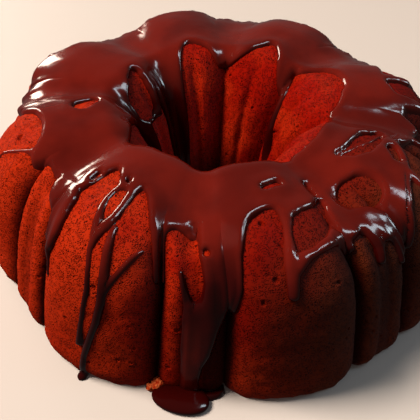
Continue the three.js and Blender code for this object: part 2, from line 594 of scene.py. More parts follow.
def crumb_finish():
    finish = Finish("cake_crumb")
    patches = finish.noise(45, 2.0).above(0.36, 0.66)
    axes = finish.node("ShaderNodeSeparateXYZ", Vector=finish.place).outputs
    # grows towards the front right, the side that gets painted shade
    toward = (Sock(finish.tree, axes["X"]) * math.sin(SHADED_SIDE)
              - Sock(finish.tree, axes["Y"]) * math.cos(SHADED_SIDE))
    wander = finish.noise(60, 2.0) * SHADE_WANDER
    # painted shade, browner, on the front right side, with a wandering edge
    shaded_brown = (toward + wander).above(*SHADE_BROWN_REACH) * PAINTED_SHADE_RIGHT
    in_well = 1 - finish.distance_from_axis(axes).above(*WELL_REACH)
    grain = finish.cells(GRAIN_PER_METRE)
    pores = finish.cells(PORES_PER_METRE)
    grain_here = finish.noise(500, 1.0).above(0.30, 0.56)
    pores_here = finish.noise(150, 1.0).above(0.46, 0.62)
    dark_grain = (1 - grain.above(0.22, 0.60)) * grain_here
    dark_pores = (1 - pores.above(0.12, 0.30)) * pores_here
    # painted light on the left side
    lit_left = (0.0 - Sock(finish.tree, axes["X"])).above(*LIT_LEFT_REACH)
    height = Sock(finish.tree, axes["Z"])
    high = height.above(*HIGH_REACH)
    in_front = toward.above(*SHADE_FRONT_REACH)
    # painted light low on the front right
    lit_low_front = in_front * (1 - high) * PAINTED_LIGHT_LOW_FRONT
    # random lighter patches of the crumb's own, plus the painted light
    patches_and_painted_light = (patches * LIGHT_PATCHES + lit_left * PAINTED_LIGHT_LEFT + lit_low_front).clamped()
    colour = finish.mix(patches_and_painted_light, CRUMB_MID, CRUMB_LIGHT)
    # painted shade, deeper, high on the front right
    colour = finish.mix(in_front * high * PAINTED_SHADE_FRONT, colour, CRUMB_SHADE_FRONT)
    # painted light on one side of the well
    lit_well_side = (WELL_LIT_FROM - Sock(finish.tree, axes["X"])).above(0.0, 0.03)
    colour = finish.mix(in_well * lit_well_side * PAINTED_LIGHT_WELL_SIDE, colour, CRUMB_LIT_WELL)
    # the browner painted shade of the front right side
    colour = finish.mix(shaded_brown, colour, CRUMB_SHADE_BROWN)
    # painted shade, nearly black, at the bottom of the well and in the grooves
    shaded_well_bottom = in_well * (1 - height.above(*WELL_SHADE_REACH)) * PAINTED_SHADE_WELL
    shaded = (finish.share("groove_shade") * PAINTED_SHADE_GROOVES + shaded_well_bottom).clamped()
    colour = finish.mix(shaded, colour, CRUMB_PORES_AND_SHADE)
    # the same dark colour also marks the crumb's own grain and pores
    spots = (dark_grain * DARK_GRAIN + dark_pores * DARK_PORES).clamped()
    colour = finish.mix(spots, colour, CRUMB_PORES_AND_SHADE)
    relief = 1.0 - dark_grain * 0.45 - dark_pores
    finish.set(Base_Color=colour, Roughness=0.85)
    finish.set(Normal=finish.bump(relief, 0.0007, 0.9))
    finish.set(Specular_IOR_Level=0.04)
    return finish.material


crumb_material = crumb_finish()
print("made", crumb_material.name)

# %% [markdown]
# The crumb body is one closed solid. Its sheet has fine rows on the bare wall and coarser
# ones under the glaze on the crest. Pits, where large air bubbles opened, are real hollows:
# the sheet is cut finer round each of them first. Then it is wrapped onto the skin, roughened
# with noise of three sizes, and closed by a flat underside between its two rims.

# %% Crumb body
CRUMB_COLUMNS = 608
PIT_COUNT = 170
PIT_SEED = 4
PIT_CUTS = 2
PIT_MARGIN = 0.4
PIT_ROUNDNESS = 0.7
FRONT_PITS = ((-25.5, 85, 1.3), (-34, 96.5, 0.9), (-37, 104, 1.0), (-34.5, 105, 0.9),
              (-27, 107, 1.2), (-88.5, 43, 2.0), (-24.5, 58, 0.9), (-8, 66, 1.0))
LUMPS = ((10.0, 0.55, 1), (3.6, 0.28, 2), (1.5, 0.22, 3))
FOOT_RAGGED_HEIGHT = 5.0
FOOT_RAGGED_SIZE = 5.0
FOOT_RAGGED = 1.1
FOOT_WORN = 0.3
LEAST_HEIGHT = 0.15


def crumb_rows():
    well = np.arange(-WELL_RUN, -10, 2.2)
    crest = np.arange(-10, 14, 2.4)
    wall = np.linspace(14, WALL_RUN, 76)
    return np.concatenate((well, crest, wall)).tolist()


def scatter_pits(count, seed):
    """Azimuth, run, radius and depth of each pit, in mm, most of them on the wall."""
    draw = random.Random(seed)
    pits = [(math.radians(degrees), run, radius, radius)
            for degrees, run, radius in FRONT_PITS]
    for number in range(count):
        in_well = number % 7 == 0
        run = draw.uniform(-70, -12) if in_well else draw.uniform(28, 118)
        radius = draw.uniform(0.55, 1.0) if number % 5 else draw.uniform(1.0, 1.7)
        pits.append((draw.uniform(-math.pi, math.pi), run, radius, radius * 1.1))
    return pits


def sheet_radius(run):
    inside = np.interp(run, section["run"], section["radius"])
    return inside + np.clip(run - WALL_RUN, 0, None)


def pit_distance(azimuth, run, pit):
    turn = np.angle(np.exp(1j * (azimuth - pit[0])))
    return np.hypot(turn * sheet_radius(run), run - pit[1])


def cut_near(bm, near):
    """Cuts each face with a chosen vertex into four."""
    bm.verts.index_update()
    faces = [face for face in bm.faces if any(near[vert.index] for vert in face.verts)]
    edges = list({edge for face in faces for edge in face.edges})
    bmesh.ops.subdivide_edges(bm, edges=edges, cuts=1, use_grid_fill=True, use_single_edge=True)


def make_crumb():
    bm = spin_sheet(crumb_rows(), CRUMB_COLUMNS)
    pits = scatter_pits(PIT_COUNT, PIT_SEED)
    for _ in range(PIT_CUTS):
        azimuth, run = read_sheet(bm)
        near = np.zeros(len(azimuth), bool)
        for pit in pits:
            near |= pit_distance(azimuth, run, pit) < pit[2] + PIT_MARGIN
        cut_near(bm, near)
    azimuth, run = read_sheet(bm)
    points = skin(azimuth, run)
    lift = np.zeros(len(run))
    for size, height, seed in LUMPS:
        lift += height * wave_noise(points, size, seed)
    ragged = smoothstep(FOOT_RAGGED_HEIGHT - points[:, 2], 0, FOOT_RAGGED_HEIGHT)
    lift += ragged * FOOT_RAGGED * wave_noise(points, FOOT_RAGGED_SIZE, 5) - FOOT_WORN * ragged
    for pit in pits:
        away = pit_distance(azimuth, run, pit) / pit[2]
        lift -= pit[3] * np.clip(1 - away ** 2, 0, 1) ** PIT_ROUNDNESS
    points = skin(azimuth, run, lift)
    on_rim = (run > WALL_RUN - 0.01) | (run < -WELL_RUN + 0.01)
    points[:, 2] = np.where(on_rim, 0, np.maximum(points[:, 2], LEAST_HEIGHT))
    place_points(bm, points)
    mark_share(bm, "groove_shade", groove_shade(azimuth, run))
    rims = [edge for edge in bm.edges if edge.is_boundary]
    bmesh.ops.bridge_loops(bm, edges=rims)
    return finish_piece("crumb", bm, crumb_material)


crumb = make_crumb()
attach(crumb, "root")
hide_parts("cake")

# %% [markdown]
# The glaze is poured chocolate. Seen from above it is a coat with a wavy edge, and strokes
# that ran down from it. Its outline is written as a distance: positive inside the glaze,
# negative outside, in mm. Distances of the coat and of each stroke are joined smoothly, as
# two drops run together, and holes are taken away in the same soft manner.

# %% Where the glaze lies
COAT_EDGE = (
    (-180, 44), (-170, 40), (-158, 47), (-148, 41), (-137, 42), (-127, 52), (-118, 58),
    (-111, 56), (-105, 50), (-100, 41), (-96.5, 32), (-92, 29), (-88, 29), (-84, 31),
    (-81.5, 34.5), (-79.5, 39), (-77.5, 42.5), (-76, 42), (-74.8, 35), (-73, 33), (-69, 34.5),
    (-62, 36), (-57, 33), (-55.2, 31), (-54.3, 24), (-53.7, 15), (-52.4, 13), (-50.9, 15),
    (-49.1, 18), (-47.4, 21), (-45, 22.5), (-43, 22), (-41, 20), (-39.6, 18.5), (-38.2, 20),
    (-36.5, 23), (-35.2, 26), (-34.2, 30), (-33, 35), (-30, 37), (-27, 32.5), (-23.5, 33),
    (-20.5, 29), (-15, 40), (-11.2, 40.5),
    (-10, 36), (-8.5, 32), (-6.6, 28.6), (-4, 26.4), (-1.3, 25), (1.2, 25), (2.6, 28),
    (3.6, 37), (5, 44), (14, 45), (18, 45), (20.5, 44), (22.6, 46), (24.5, 53), (27, 55),
    (29, 60), (32, 56), (35, 48), (40, 43), (50, 37), (57, 33), (62, 40), (70, 48), (80, 37),
    (90, 34), (99, 40), (108, 52), (116, 50), (126, 45), (137, 44), (146, 45), (156, 50),
    (165, 46), (173, 42),
)
WELL_EDGE = (
    (-180, 0.5), (-177, -2), (-173.5, -8), (-170.5, -16), (-166, -20), (-150, -20),
    (-146, -18), (-142, -34), (-118, -33), (-105, -25), (-90, -17), (-70, -12), (-45, -10),
    (-20, -9), (0, -8), (20, -6), (26, -7), (31, -4), (42, -3), (55, -3), (66, -1),
    (71, 0), (76, 4), (84, 8), (88, 11), (93, 12.5), (98, 12), (103, 9), (107, 4), (110, -2),
    (115, -4), (119, -5), (124, -4), (128, 0), (131, 4), (133.5, 6.5), (136, 6.5), (138.4, 2),
    (143, -4), (148, -9), (153, -13), (158, -15.5), (162, -15), (165.5, -10), (168.5, -5.5),
    (173, -1.5), (177, 0.5),
)
print("points on the coat's two edges:", len(COAT_EDGE), len(WELL_EDGE))

# %% [markdown]
# A stroke is a list of points, each with the way round in degrees, the run in mm and the
# half width in mm. These are the runs of glaze on the front, from the left to the right. Holes
# are written in the same way, and a bridge is a thread that crosses a hole.

# %% Strokes of glaze
FRONT_STROKES = {
    "left_thread": ((-79.5, 38, 2.0), (-82, 42.5, 0.8), (-84.8, 48.5, 0.75), (-88, 55, 0.75),
                    (-91, 66, 0.75), (-93, 82, 0.9)),
    "groove_sheet": ((-62.5, 34, 9), (-59.5, 40, 8.4), (-57.9, 46, 7.0), (-57.6, 54, 6.4),
                     (-57.6, 60, 5.4), (-57.3, 65, 3.2), (-56.3, 69, 1.3), (-55.4, 76, 0.8)),
    "loop_right": ((-42.0, 17, 3.4), (-41.8, 24, 2.0), (-41.9, 31, 1.7), (-42.4, 37, 1.8),
                   (-43.6, 42.5, 2.0), (-44.8, 47.5, 1.7), (-45.0, 53, 1.3), (-44.4, 60, 1.2),
                   (-44.1, 70, 1.2), (-44.8, 86, 1.15), (-45.6, 101, 1.35)),
    "loop_left": ((-45.8, 21, 1.8), (-47.0, 26, 1.2), (-47.3, 31, 1.2), (-46.8, 36, 1.6),
                  (-45.9, 41, 2.0), (-45.2, 46, 1.7)),
    "long_thread": ((-41.0, 41.5, 1.0), (-41.2, 46, 1.6), (-41.1, 51, 1.9), (-40.9, 56, 2.0),
                    (-40.7, 64, 2.1), (-40.8, 74, 1.95), (-41.6, 85, 1.75), (-43, 96, 1.6),
                    (-44.4, 108, 1.5), (-44.9, 117, 1.6), (-45, 121, 1.9), (-45, 125, 2.2)),
    "slanting_thread": ((-33.7, 46.8, 0.6), (-34.6, 49, 1.1), (-35.8, 52, 1.3),
                        (-37.3, 57, 1.2), (-38.6, 61.5, 1.2), (-40, 66.5, 1.4)),
    "pointed_drip": ((-33.4, 24, 3.2), (-32.1, 30, 3.1), (-31.1, 37, 3.0), (-30.6, 43, 2.6),
                     (-30.4, 50, 2.3), (-30.3, 57, 2.3), (-30.2, 61, 2.2)),
    "scallop": ((-23, 30, 2.4), (-22.6, 33, 1.6)),
    "stream": ((-14.5, 28, 10), (-15.8, 45, 8.7), (-16, 60, 8.3), (-17.2, 70, 8.2),
               (-20.4, 80, 9), (-21.4, 94, 7.3), (-22.2, 104, 5.2), (-22.5, 114, 4.4),
               (-22.4, 124, 5)),
    "crease_drip": ((-25.3, 54, 0.9), (-24.7, 61, 1.3), (-23.8, 69, 2.0), (-22.6, 77, 4)),
    "foot_pool": ((-23, 124, 3), (-19, 124.5, 2.4), (-15.6, 123.5, 1.8)),
    "finger": ((3.2, 28, 2.2), (2.1, 35, 1.8), (0.9, 40, 1.8), (-0.2, 46, 2.6),
               (-0.9, 52, 2.9), (-1.6, 58, 2.7), (-1.9, 62.3, 2.5)),
    "finger_web": ((0.2, 51, 3.2), (3.2, 47.9, 2.3), (6.2, 46.2, 1.7), (10.5, 43.4, 2.7),
                   (14, 41.3, 4.0)),
    "small_drip": ((14.8, 42, 4.0), (15.3, 48.2, 3.0)),
    "rib_crease_drip": ((23.6, 46, 3.4), (23.4, 54, 2.9), (22.4, 61.5, 2.3)),
    "right_tip": ((30, 52, 6), (29.2, 60, 4.4), (28.4, 67, 3.2)),
    "right_strand": ((57, 30, 3), (50, 36.5, 2.2), (40, 42.5, 2.2), (35, 48, 2.4),
                     (32.5, 56, 2.6), (31, 64, 2.2)),
    "far_strand": ((45, 38, 3), (44, 50, 1.6), (43.5, 66, 1.3), (42.5, 84, 1.5)),
    "well_stream": ((-158, -3, 12), (-158, -14, 10.2), (-158, -30, 7.8), (-158, -60, 5.4),
                    (-157, -80, 4.6)),
    "well_thread": ((119.5, -3, 5.2), (114, -15, 3.3), (107, -25, 2.9), (99, -38, 2.5),
                    (92, -52, 2.1), (86, -66, 1.8), (83, -76, 1.8)),
    "well_left": ((-118, -30, 4), (-121, -44, 2.6), (-122, -56, 2.2)),
    "well_near": ((-40, -10, 4), (-43, -24, 2.6), (-44, -36, 2.4)),
    "well_near_right": ((14, -8, 4), (12, -20, 2.4), (11, -28, 2.2)),
}
HOLES = {
    "crest_slit": ((-103, 4, 3.0), (-99, 8.5, 4.2)),
    "pinhole": ((-45.6, 17.6, 0.75), (-45.4, 18.4, 0.75)),
    "edge_slit": ((-56.3, 25.5, 0.5), (-56.2, 20.5, 0.8)),
    "stream_hole": ((-19, 42.6, 1.4), (-19, 43.4, 1.4)),
    "crease_gap": ((-22.6, 64.5, 1.0), (-22.4, 67, 0.9)),
    "front_hole": ((6.6, 34, 4.0), (4.7, 40.2, 3.9)),
    "front_hole_low": ((5.5, 40.2, 4.0), (9.5, 36.6, 4.8), (12.4, 33.4, 4.4)),
    "front_notch": ((9.2, 32.6, 4.0), (13.6, 30.6, 3.4), (16.4, 27, 1.9), (17.3, 25.2, 1.1)),
    "flute_dimple": ((1.8, 12.2, 1.2), (7.2, 10.9, 1.3)),
    "flute_slit": ((18.4, 14, 0.7), (17.7, 20, 0.9)),
    "right_hole": ((28.6, 29.2, 6.6), (31.2, 31, 7.2)),
    "leaf": ((38.4, 11.8, 0.9), (42.5, 15.4, 3.4), (48, 18.2, 5.2), (54, 20, 5.0),
             (58, 23, 2.6)),
    "strand_gap": ((52, 31.2, 2.2), (48, 35, 1.6)),
    "well_window": ((-138, -7, 2.4), (-133.5, -12, 5.2), (-129, -18, 7.4), (-128.5, -25, 6.4)),
}
BRIDGES = {
    "leaf_thread": ((36, 10.5, 0.9), (42, 13.2, 0.6), (47, 16, 0.55), (53, 21, 0.6),
                    (61, 25.5, 0.9)),
}
print("front strokes:", len(FRONT_STROKES), "holes:", len(HOLES), "bridges:", len(BRIDGES))

# %% [markdown]
# The back and the right were glazed by the same pour, so they get runs of the same kind:
# broad fingers with a fat tip, and threads that leave a finger and wander. They are drawn by
# a seeded random generator, which gives the same runs each time.

# %% Runs at the back
BACK_SPAN = (66, 262)
BACK_STEP = (9, 15)
BACK_SEED = 21
BACK_START = 27
BACK_START_SPREAD = 6
BACK_LENGTHS = (14, 20, 28, 40, 58)
BACK_WIDTH = (2.2, 3.4)
BACK_DRIFT = 2.5
THREAD_CHANCE = 0.45
THREAD_BEND = 3


def back_strokes():
    draw = random.Random(BACK_SEED)
    strokes = {}
    azimuth = BACK_SPAN[0]
    while azimuth < BACK_SPAN[1]:
        start = BACK_START + draw.uniform(0, BACK_START_SPREAD)
        length = draw.choice(BACK_LENGTHS)
        width = draw.uniform(*BACK_WIDTH)
        drift = draw.uniform(-BACK_DRIFT, BACK_DRIFT)
        tip = (azimuth + drift, start + length, width * 0.95)
        strokes[f"back_{len(strokes)}"] = (
            (azimuth, start, width * 2.1), (azimuth + drift * 0.4, start + length * 0.35, width),
            (azimuth + drift * 0.8, start + length * 0.75, width * 0.75), tip)
        if draw.random() < THREAD_CHANCE:
            bend = draw.uniform(-THREAD_BEND, THREAD_BEND)
            strokes[f"back_thread_{len(strokes)}"] = (
                (azimuth + drift, start + length - 3, 1.5),
                (azimuth + drift + bend, start + length + 14, 1.0),
                (azimuth + drift + bend * 0.4, start + length + 30, 1.2))
        azimuth += draw.uniform(*BACK_STEP)
    return strokes


STROKES = {**FRONT_STROKES, **back_strokes()}
print("strokes in all:", len(STROKES))

# %% [markdown]
# Joining many distances smoothly: each one is turned into a weight that grows fast with the
# distance inside, the weights are added, and the logarithm turns the sum back into mm. The
# same weights carry each stroke's own half width, which later sets how high it is domed.

# %% The glaze as a distance
JOIN = 0.9
HOLE_JOIN = 0.5
REACH_LIMIT = 9.0
FAR = 99.0
LEAST_REACH = -40
NEAR_MARGIN = 9.0
NEAR_DEGREES = 18.0
COAT_BEAD = 2.6
BEAD_LIMIT = 2.6
FAT_BEADS = {"pointed_drip": 4.2, "groove_sheet": 3.6, "scallop": 3.4}
DEGREE = math.pi / 180
CURVE_STEP = 0.5
CURVE_BLUR = 0.9
CURVE_BLUR_STEPS = 8
CURVE_WINDOW = 14


def edge_curve(points):
    """A smooth closed curve of run against azimuth in degrees through the points."""
    angle = np.array([point[0] for point in points], float)
    value = np.array([point[1] for point in points], float)
    fine = np.arange(-180, 180, CURVE_STEP)
    rough = np.interp(fine, angle, value, period=360)
    offsets = np.arange(-CURVE_BLUR_STEPS, CURVE_BLUR_STEPS + 1)
    weights = np.exp(-(offsets * CURVE_STEP / CURVE_BLUR) ** 2)
    weights /= weights.sum()
    return sum(weight * np.roll(rough, shift) for weight, shift in zip(weights, offsets))


COAT_CURVE = edge_curve(COAT_EDGE)
WELL_CURVE = edge_curve(WELL_EDGE)
print("the coat ends", COAT_CURVE.min().round(1), "to", COAT_CURVE.max().round(1), "mm down the wall")


def edge_distance(curve, degrees, run, side):
    """Distance to the nearest stretch of the curve, positive on the coat's side of it."""
    per_degree = sheet_radius(run) * DEGREE
    place = (degrees + 180) / CURVE_STEP
    first = np.floor(place).astype(int)
    best = np.full(run.shape, FAR)
    step = per_degree * CURVE_STEP
    for offset in range(-CURVE_WINDOW, CURVE_WINDOW):
        start = curve[(first + offset) % len(curve)]
        rise = curve[(first + offset + 1) % len(curve)] - start
        px = (place - first - offset) * step
        py = run - start
        along = np.clip((px * step + py * rise) / (step ** 2 + rise ** 2), 0, 1)
        best = np.minimum(best, np.hypot(px - along * step, py - along * rise))
    edge = np.interp(place, np.arange(len(curve)), curve, period=len(curve))
    return side * np.sign(edge - run) * best


def stroke_distance(points, degrees, run):
    """Distance inside a tapered stroke, and the stroke's half width there."""
    per_degree = sheet_radius(run) * DEGREE
    best = np.full(run.shape, -FAR)
    width = np.zeros(run.shape)
    for (a0, r0, w0), (a1, r1, w1) in zip(points, points[1:]):
        px = (np.mod(degrees - a0 + 180, 360) - 180) * per_degree
        py = run - r0
        qx = (a1 - a0) * per_degree
        qy = r1 - r0
        along = np.clip((px * qx + py * qy) / (qx ** 2 + qy ** 2), 0, 1)
        inside = w0 + (w1 - w0) * along - np.hypot(px - along * qx, py - along * qy)
        width = np.where(inside > best, w0 + (w1 - w0) * along, width)
        best = np.maximum(best, inside)
    return best, width


def nearby(points, degrees, run):
    """Which places lie in the stroke's own window."""
    middle = (points[0][0] + points[-1][0]) / 2
    half = max(abs(point[0] - middle) for point in points) + NEAR_DEGREES
    low = min(point[1] - point[2] for point in points) - NEAR_MARGIN
    high = max(point[1] + point[2] for point in points) + NEAR_MARGIN
    away = np.abs(np.mod(degrees - middle + 180, 360) - 180)
    return (away < half) & (run > low) & (run < high)


def near_strokes(strokes, degrees, run):
    """Each stroke's name, the places near it, and its distance and half width there."""
    for name, points in strokes.items():
        here = nearby(points, degrees, run)
        if here.any():
            inside, half = stroke_distance(points, degrees[here], run[here])
            yield name, here, inside, half


def glaze_distance(azimuth, run):
    """Distance inside the glaze in mm, and the half width of the run of glaze there."""
    degrees = np.degrees(azimuth)
    coat = np.minimum(edge_distance(COAT_CURVE, degrees, run, 1),
                      edge_distance(WELL_CURVE, degrees, run, -1))
    weight = np.exp(np.clip(coat, LEAST_REACH, REACH_LIMIT) / JOIN)
    total = weight.copy()
    width = weight * COAT_BEAD
    for name, here, inside, half in near_strokes(STROKES, degrees, run):
        limit = FAT_BEADS.get(name, BEAD_LIMIT)
        weight = np.exp(np.clip(inside, LEAST_REACH, REACH_LIMIT) / JOIN)
        total[here] += weight
        width[here] += weight * np.minimum(half, limit)
    distance = JOIN * np.log(total)
    width = width / total
    for _, here, hole, _ in near_strokes(HOLES, degrees, run):
        both = np.exp(-distance[here] / HOLE_JOIN) + np.exp(hole / HOLE_JOIN)
        distance[here] = -HOLE_JOIN * np.log(both)
    for _, here, inside, half in near_strokes(BRIDGES, degrees, run):
        width[here] = np.where(inside > distance[here], half, width[here])
        both = np.exp(distance[here] / HOLE_JOIN) + np.exp(inside / HOLE_JOIN)
        distance[here] = HOLE_JOIN * np.log(both)
    return distance, width


# %% [markdown]
# The glaze lies on the skin with its own thickness. Near its edge it is rounded like a drop:
# the height follows a quarter circle, and the vertices are drawn towards the edge by the same
# circle, so that the steep part gets as many faces as the flat part. It fills the grooves it
# runs over, because thick chocolate bridges them. At the foot the section runs on along the
# table with a rounded corner, which lets the stream reach its pool.

# %% Wrapping the glaze
SHOULDER_RUNS = (45, 70)
GROOVE_BLURS = (5.6, 3.2)
BLUR_OFFSETS = np.linspace(-2, 2, 9)
BLUR_SPREAD = 1.6
FILLET = 4.0
FOOT_START = 10.0
POOL_OUT = 1.0
POOL_EVEN = 5.0
EDGE_BELOW = 0.5
INNER_DEPTH = 1.4
GRADIENT_STEP = 0.15
LEAST_GRADIENT = 0.25


def groove_fill(azimuth, run):
    """How much shallower a thick glaze makes a groove."""
    weights = np.exp(-BLUR_OFFSETS ** 2 / BLUR_SPREAD)
    weights /= weights.sum()
    reach = np.interp(run, SHOULDER_RUNS, GROOVE_BLURS) * DEGREE
    blurred = sum(weight * flute_depth(azimuth + offset * reach, run)
                  for weight, offset in zip(weights, BLUR_OFFSETS))
    return np.clip(flute_depth(azimuth, run) - blurred, 0, None)


def foot_circle(azimuth):
    """How far the even outline of a pool stands out from the fluted foot, in mm."""
    offsets = np.radians(np.arange(-10, 11, 2.0))
    foot = np.full(azimuth.shape, WALL_RUN)
    outline = [np.hypot(*skin(azimuth + offset, foot)[:, :2].T) for offset in offsets]
    return np.mean(outline, 0) + POOL_OUT - np.hypot(*skin(azimuth, foot)[:, :2].T)


def table_skin(azimuth, run, lift):
    """The skin carried on along the table, with a rounded corner at the foot."""
    on_wall = np.minimum(run, WALL_RUN)
    plain = skin(azimuth, on_wall, lift)
    near = run > WALL_RUN - FOOT_START
    if not near.any():
        return plain
    turn = azimuth[near]
    here = run[near]
    reach = FILLET * smoothstep(here, WALL_RUN - FOOT_START, WALL_RUN - 1)
    outward = np.stack((np.sin(turn), -np.cos(turn), np.zeros(turn.shape)), -1)
    total = 0
    evened = foot_circle(turn)
    steps = np.linspace(-1, 1, 7)
    for step in steps:
        moved = here + step * reach
        beyond = np.clip(moved - WALL_RUN, 0, None)
        beyond = beyond + evened * smoothstep(beyond, 0, POOL_EVEN)
        total = total + skin(turn, np.minimum(moved, WALL_RUN)) + outward * beyond[:, None]
    base = total / len(steps)
    foot = np.minimum(here, WALL_RUN)
    wall_normal = skin(turn, foot, 1.0) - skin(turn, foot)
    on_table = smoothstep(here, WALL_RUN - FILLET, WALL_RUN + FILLET)[:, None]
    normal = wall_normal * (1 - on_table) + np.array((0, 0, 1.0)) * on_table
    normal /= np.linalg.norm(normal, axis=1)[:, None]
    bent = base + normal * np.broadcast_to(lift, run.shape)[near][:, None]
    bent[:, 2] = np.maximum(bent[:, 2], 0)
    plain[near] = bent
    return plain


def glaze_gradient(azimuth, run, distance):
    """Slope of the distance round the cake and along the run, per mm."""
    step = GRADIENT_STEP
    round_slope = (glaze_distance(azimuth + step / sheet_radius(run), run)[0] - distance) / step
    run_slope = (glaze_distance(azimuth, run + step)[0] - distance) / step
    size = np.maximum(round_slope ** 2 + run_slope ** 2, LEAST_GRADIENT)
    return round_slope / size, run_slope / size


# %% [markdown]
# The sheet for the glaze is cut finer only where it matters: any edge near the glaze's border
# that is longer than about a millimetre is halved, and elsewhere only edges over about three
# are. Lengths are measured on the wrapped sheet, so the sides of the grooves count in full.

# %% Cutting the glaze out
GLAZE_COLUMNS = 400
GLAZE_ROW = 1.9
TABLE_REACH = 20.0
BORDER_EDGE = 0.71
BODY_EDGE = 2.4
LONG_EDGE = 1.35
BORDER_BAND = (-0.9, 2.6)
BARE_AT_FIRST = -3.5
BARE_AFTER_CUT = -1.6
CUT_PASSES = 4


def drop_bare(bm, distance, limit):
    """Deletes faces that lie wholly outside the glaze."""
    bm.verts.index_update()
    bare = [face for face in bm.faces
            if max(distance[vert.index] for vert in face.verts) < limit]
    bmesh.ops.delete(bm, geom=bare, context="FACES")


def cut_long_edges(bm):
    azimuth, run = read_sheet(bm)
    distance = glaze_distance(azimuth, run)[0]
    points = table_skin(azimuth, run, np.zeros(len(run)))
    bm.verts.index_update()
    ends = np.array([(edge.verts[0].index, edge.verts[1].index) for edge in bm.edges])
    length = np.linalg.norm(points[ends[:, 0]] - points[ends[:, 1]], axis=1)
    inside = distance[ends]
    border = ((inside > BORDER_BAND[0]) & (inside < BORDER_BAND[1])).any(1)
    border |= inside.min(1) * inside.max(1) < 0
    covered = inside.max(1) > BORDER_BAND[0]
    limit = np.where(border, BORDER_EDGE * LONG_EDGE, BODY_EDGE * LONG_EDGE)
    long = covered & (length > limit)
    edges = [edge for edge, chosen in zip(bm.edges, long.tolist()) if chosen]
    if edges:
        bmesh.ops.subdivide_edges(bm, edges=edges, cuts=1, use_grid_fill=True,
                                  use_single_edge=True)
    return len(edges)


def cut_glaze():
    rows = np.arange(-WELL_RUN, WALL_RUN + TABLE_REACH, GLAZE_ROW).tolist()
    bm = spin_sheet(rows, GLAZE_COLUMNS)
    azimuth, run = read_sheet(bm)
    drop_bare(bm, glaze_distance(azimuth, run)[0], BARE_AT_FIRST)
    for number in range(CUT_PASSES):
        cut = cut_long_edges(bm)
        azimuth, run = read_sheet(bm)
        drop_bare(bm, glaze_distance(azimuth, run)[0], BARE_AFTER_CUT)
        print("pass", number, "cut", cut, "faces", len(bm.faces))
    azimuth, run = read_sheet(bm)
    distance = glaze_distance(azimuth, run)[0]
    bm.verts.index_update()
    bare = [face for face in bm.faces
            if np.mean([distance[vert.index] for vert in face.verts]) < -EDGE_BELOW]
    bmesh.ops.delete(bm, geom=bare, context="FACES")
    loose = [vert for vert in bm.verts if not vert.link_faces]
    bmesh.ops.delete(bm, geom=loose, context="VERTS")
    return bm


# %% [markdown]
# Chocolate glaze is dark and glossy. Its colour goes from nearly black low on the wall and in the
# grooves to a warm red brown high on the crest. That is partly the colour of thin film against
# thick runs, and partly painted shade on the walls and in the grooves. One strip low on the broad
# stream gets the warm colour too, as a painted reflection. That share is a number on each vertex,
# because it follows the grooves as well as the height. A low roughness on the plain Principled
# shader is enough for sharp highlights, so no coat layer is added.

# %% Glaze finish
# The dark colour is the thick runs' own and also painted shade; the warm one is the thin film's own
# and also the strip's painted reflection.
GLAZE_DARK = (0.022, 0.0008, 0.0006, 1)
GLAZE_WARM = (0.100, 0.0060, 0.0032, 1)
# below this height the glaze darkens: thick runs, and painted shade
LIT_FILM_HEIGHT = (54, 72)
# a strip of painted reflection low on the broad stream: its middle and half width, its runs and its
# share
SHEEN_STRIP = (math.radians(-22.3), math.radians(2.2))
SHEEN_STRIP_RUNS = (76, 90)
SHEEN_STRIP_SHARE = 0.85


def lit_film_share(azimuth, run, height):
    """1 on the crest's thin film and in a strip of painted reflection, 0 in thick runs and painted
    shade.
    """
    # the warm film fades low on the wall and in the grooves, partly as painted shade
    lit_film = smoothstep(height, *LIT_FILM_HEIGHT) * (1 - groove_shade(azimuth, run))
    # painted reflection in a strip low on the broad stream
    away = np.abs(azimuth - SHEEN_STRIP[0]) / SHEEN_STRIP[1]
    sheen_strip = smoothstep(1 - away, 0, 0.5) * smoothstep(run, *SHEEN_STRIP_RUNS)
    return np.maximum(lit_film, SHEEN_STRIP_SHARE * sheen_strip)


def glaze_finish():
    finish = Finish("chocolate_glaze")
    patches = finish.noise(34, 3.0).above(0.34, 0.64)
    lit_film = finish.share("lit_film_share")
    # the warm colour follows the film share, with painted shade and a painted reflection in it
    colour = finish.mix(lit_film * (0.55 + patches * 0.45), GLAZE_DARK, GLAZE_WARM)
    soft = finish.noise(90, 2.0)
    finish.set(Base_Color=colour, Roughness=0.10 + soft * 0.10)
    finish.set(Normal=finish.bump(finish.noise(160, 2.0), 0.0006, 0.25))
    finish.set(Specular_IOR_Level=0.17, IOR=1.46)
    return finish.material


glaze_material = glaze_finish()
print("made", glaze_material.name)

# %% [markdown]
# Now the cut sheet is made thick. A Solidify modifier would give one thickness all over, but
# this glaze is domed: its height at each vertex comes from how far inside the edge it lies and
# how wide its run is. So the sheet is extruded once, and the two skins are placed apart: the
# top by its dome and a slow sag, and the underside a little way into the crumb, so that no gap
# shows between them.

# %% Glaze piece
THICKNESS = 0.92
LEAST_BEAD = 0.8
EDGE_SLOPE = 1.7
THINNER = 0.18
THINNER_REACH = 6
TABLE_BLEND = (-3, 2)
FILL_REACH = (0.5, 4.5)
SAG_SIZE = 13.0
SAG_SEED = 8
SAG_REACH = (0.5, 3)
SAG = 0.34
TABLE_FILM = 0.12  # the least height on the table, so that the top never lies in the underside


